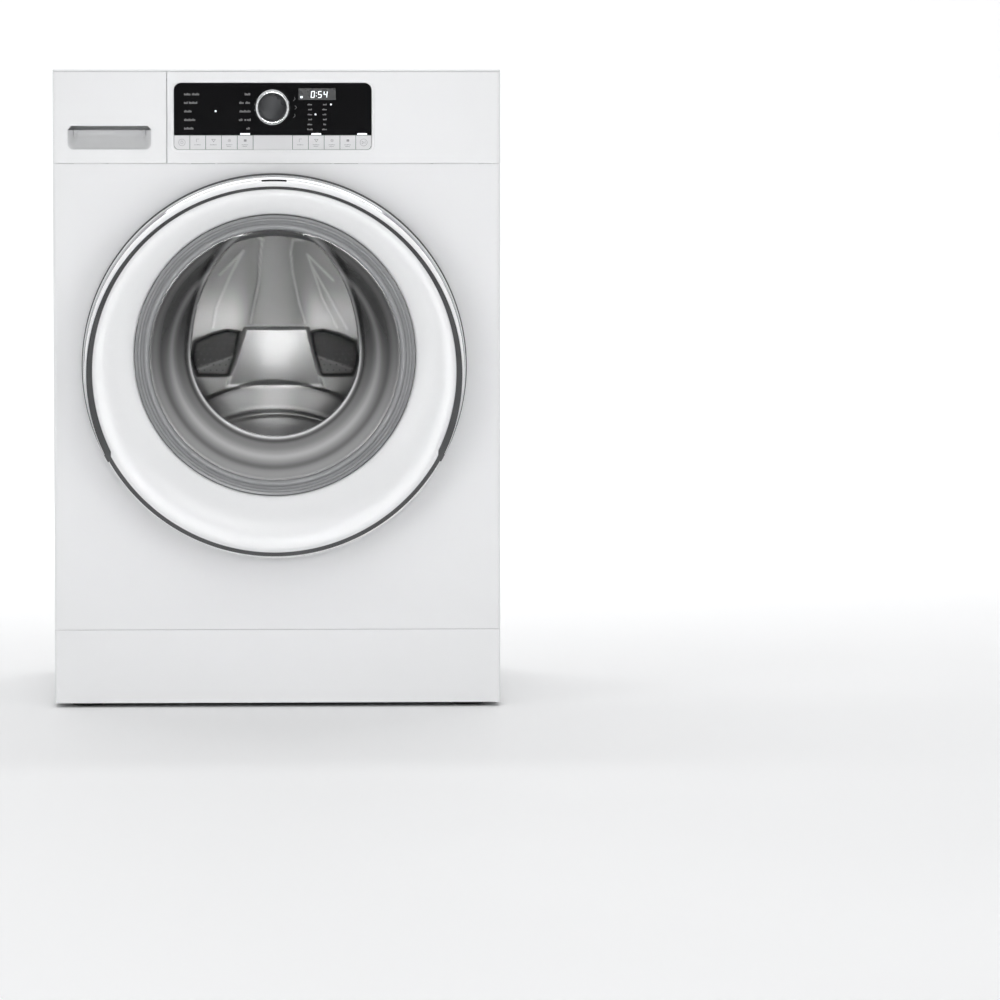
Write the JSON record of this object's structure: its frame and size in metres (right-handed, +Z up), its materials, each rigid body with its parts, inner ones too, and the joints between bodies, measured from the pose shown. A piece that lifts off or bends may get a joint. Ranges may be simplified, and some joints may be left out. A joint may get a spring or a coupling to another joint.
{
  "type": "front load washing machine",
  "caption": "Free-standing front load washer with a round glass door, program knob, detergent drawer and a sprung tub.",
  "frame": {"origin": "on the floor, under the centre of the outer box", "axes": "+X to the right seen from the front, +Y from the door to the rear panel, +Z up"},
  "size_m": [0.595, 0.645, 0.851],
  "materials": {
    "cabinet_white": "satin white enamel on sheet steel",
    "plastic_white": "glossy white moulding",
    "worktop_white": "white laminate over board",
    "key_white": "satin pale grey-white",
    "window_black": "piano black gloss",
    "knob_chrome": "mirror chrome ring with a dark satin face",
    "trim_chrome": "mirror chrome plating",
    "bezel_grey": "glossy mid grey moulding",
    "window_glass": "clear pressed glass",
    "gasket_rubber": "matt grey rubber",
    "belt_rubber": "matt black ribbed rubber",
    "drum_steel": "bright stainless steel",
    "zinc_steel": "zinc plated steel",
    "iron_grey": "rough grey casting",
    "cast_aluminium": "die cast, satin",
    "tub_plastic": "satin pale grey moulding",
    "tray_grey": "satin light grey moulding",
    "dark_plastic": "satin black moulding",
    "board_green": "solder masked circuit board"
  },
  "bodies": {
    "cabinet": {"side_panel_left": "cabinet_white", "side_panel_right": "cabinet_white", "rear_panel": "cabinet_white", "rear_access_cover": "cabinet_white", "front_panel": "cabinet_white", "kick_plate": "plastic_white", "top_panel": "worktop_white", "base_tray": "zinc_steel", "control_fascia": "plastic_white", "display_window": "window_black", "control_board": "board_green", "dispenser_housing": "tub_plastic", "door_hinge_bracket": "zinc_steel", "door_lock": "dark_plastic", "door_gasket": "gasket_rubber", "suspension_spring_left": "zinc_steel", "suspension_spring_right": "zinc_steel", "damper_cylinder_left": "dark_plastic", "damper_cylinder_right": "dark_plastic", "drain_pump": "dark_plastic", "inlet_valve": "dark_plastic", "cord_gland": "dark_plastic"},
    "wash_unit": {"tub_front": "tub_plastic", "tub_rear": "tub_plastic", "counterweight_top": "iron_grey", "counterweight_front": "iron_grey", "bearing_cartridge": "drum_steel", "drive_belt": "belt_rubber", "drive_motor": "cast_aluminium", "damper_rod_left": "zinc_steel", "damper_rod_right": "zinc_steel"},
    "drum": {"wash_drum": "drum_steel", "drum_lifter_1": "tray_grey", "drum_lifter_2": "tray_grey", "drum_lifter_3": "tray_grey", "drum_spider": "cast_aluminium", "drum_pulley": "cast_aluminium"},
    "motor_rotor": {"motor_pulley": "zinc_steel"},
    "door": {"door_outer_ring": "plastic_white", "door_chrome_trim": "trim_chrome", "door_inner_frame": "bezel_grey", "door_glass": "window_glass"},
    "latch": {"door_latch_hook": "zinc_steel"},
    "detergent_drawer": {"drawer_front": "plastic_white", "drawer_tray": "tray_grey"},
    "knob": {"program_knob": "knob_chrome"},
    "key_power_body": {"key_power": "key_white"},
    "key_option_1_body": {"key_option_1": "key_white"},
    "key_option_2_body": {"key_option_2": "key_white"},
    "key_option_3_body": {"key_option_3": "key_white"},
    "key_option_4_body": {"key_option_4": "key_white"},
    "key_option_5_body": {"key_option_5": "key_white"},
    "key_option_6_body": {"key_option_6": "key_white"},
    "key_option_7_body": {"key_option_7": "key_white"},
    "key_option_8_body": {"key_option_8": "key_white"},
    "key_start_body": {"key_start": "key_white"},
    "foot_front_left_body": {"foot_front_left": "dark_plastic"},
    "foot_front_right_body": {"foot_front_right": "dark_plastic"},
    "foot_rear_left_body": {"foot_rear_left": "dark_plastic"},
    "foot_rear_right_body": {"foot_rear_right": "dark_plastic"}
  },
  "joints": [
    {"name": "door_swing", "type": "hinge", "parent": "cabinet", "child": "door", "pos_m": [-0.254, -0.2905, 0.458], "axis": [0, 0, -1], "range_deg": [0, 105]},
    {"name": "latch_release", "type": "hinge", "parent": "door", "child": "latch", "pos_m": [0.212, -0.287, 0.458], "axis": [0, 0, 1], "range_deg": [0, 8], "stiffness_Nm_per_rad": 0.4, "springref_deg": -8.59},
    {"name": "drawer_pull", "type": "slide", "parent": "cabinet", "child": "detergent_drawer", "axis": [0, -1, 0], "range_m": [0, 0.2]},
    {"name": "program_turn", "type": "hinge", "parent": "cabinet", "child": "knob", "pos_m": [-0.0058, -0.29, 0.8006], "axis": [0, 1, 0], "continuous": true},
    {"name": "tub_bounce", "type": "slide", "parent": "cabinet", "child": "wash_unit", "axis": [0, 0, 1], "range_m": [-0.008, 0.008], "stiffness_N_per_m": 20000, "springref_m": 0.0198, "deforming": ["suspension_spring_left", "suspension_spring_right", "door_gasket"]},
    {"name": "drum_spin", "type": "hinge", "parent": "wash_unit", "child": "drum", "pos_m": [-0.003, 0, 0.472], "axis": [0, 1, 0], "continuous": true},
    {"name": "motor_spin", "type": "hinge", "parent": "wash_unit", "child": "motor_rotor", "pos_m": [-0.003, 0.23, 0.13], "axis": [0, 1, 0], "continuous": true},
    {"name": "press_power", "type": "slide", "parent": "cabinet", "child": "key_power_body", "axis": [0, 1, 0], "range_m": [0, 0.0008], "stiffness_N_per_m": 1000, "springref_m": -0.0005},
    {"name": "press_option_1", "type": "slide", "parent": "cabinet", "child": "key_option_1_body", "axis": [0, 1, 0], "range_m": [0, 0.0008], "stiffness_N_per_m": 1000, "springref_m": -0.0005},
    {"name": "press_option_2", "type": "slide", "parent": "cabinet", "child": "key_option_2_body", "axis": [0, 1, 0], "range_m": [0, 0.0008], "stiffness_N_per_m": 1000, "springref_m": -0.0005},
    {"name": "press_option_3", "type": "slide", "parent": "cabinet", "child": "key_option_3_body", "axis": [0, 1, 0], "range_m": [0, 0.0008], "stiffness_N_per_m": 1000, "springref_m": -0.0005},
    {"name": "press_option_4", "type": "slide", "parent": "cabinet", "child": "key_option_4_body", "axis": [0, 1, 0], "range_m": [0, 0.0008], "stiffness_N_per_m": 1000, "springref_m": -0.0005},
    {"name": "press_option_5", "type": "slide", "parent": "cabinet", "child": "key_option_5_body", "axis": [0, 1, 0], "range_m": [0, 0.0008], "stiffness_N_per_m": 1000, "springref_m": -0.0005},
    {"name": "press_option_6", "type": "slide", "parent": "cabinet", "child": "key_option_6_body", "axis": [0, 1, 0], "range_m": [0, 0.0008], "stiffness_N_per_m": 1000, "springref_m": -0.0005},
    {"name": "press_option_7", "type": "slide", "parent": "cabinet", "child": "key_option_7_body", "axis": [0, 1, 0], "range_m": [0, 0.0008], "stiffness_N_per_m": 1000, "springref_m": -0.0005},
    {"name": "press_option_8", "type": "slide", "parent": "cabinet", "child": "key_option_8_body", "axis": [0, 1, 0], "range_m": [0, 0.0008], "stiffness_N_per_m": 1000, "springref_m": -0.0005},
    {"name": "press_start", "type": "slide", "parent": "cabinet", "child": "key_start_body", "axis": [0, 1, 0], "range_m": [0, 0.0008], "stiffness_N_per_m": 1000, "springref_m": -0.0005},
    {"name": "level_front_left", "type": "slide", "parent": "cabinet", "child": "foot_front_left_body", "axis": [0, 0, -1], "range_m": [0, 0.012]},
    {"name": "level_front_right", "type": "slide", "parent": "cabinet", "child": "foot_front_right_body", "axis": [0, 0, -1], "range_m": [0, 0.012]},
    {"name": "level_rear_left", "type": "slide", "parent": "cabinet", "child": "foot_rear_left_body", "axis": [0, 0, -1], "range_m": [0, 0.012]},
    {"name": "level_rear_right", "type": "slide", "parent": "cabinet", "child": "foot_rear_right_body", "axis": [0, 0, -1], "range_m": [0, 0.012]}
  ],
  "couplings": [
    {"joint": "motor_spin", "follows": "drum_spin", "ratio": 11.2}
  ]
}
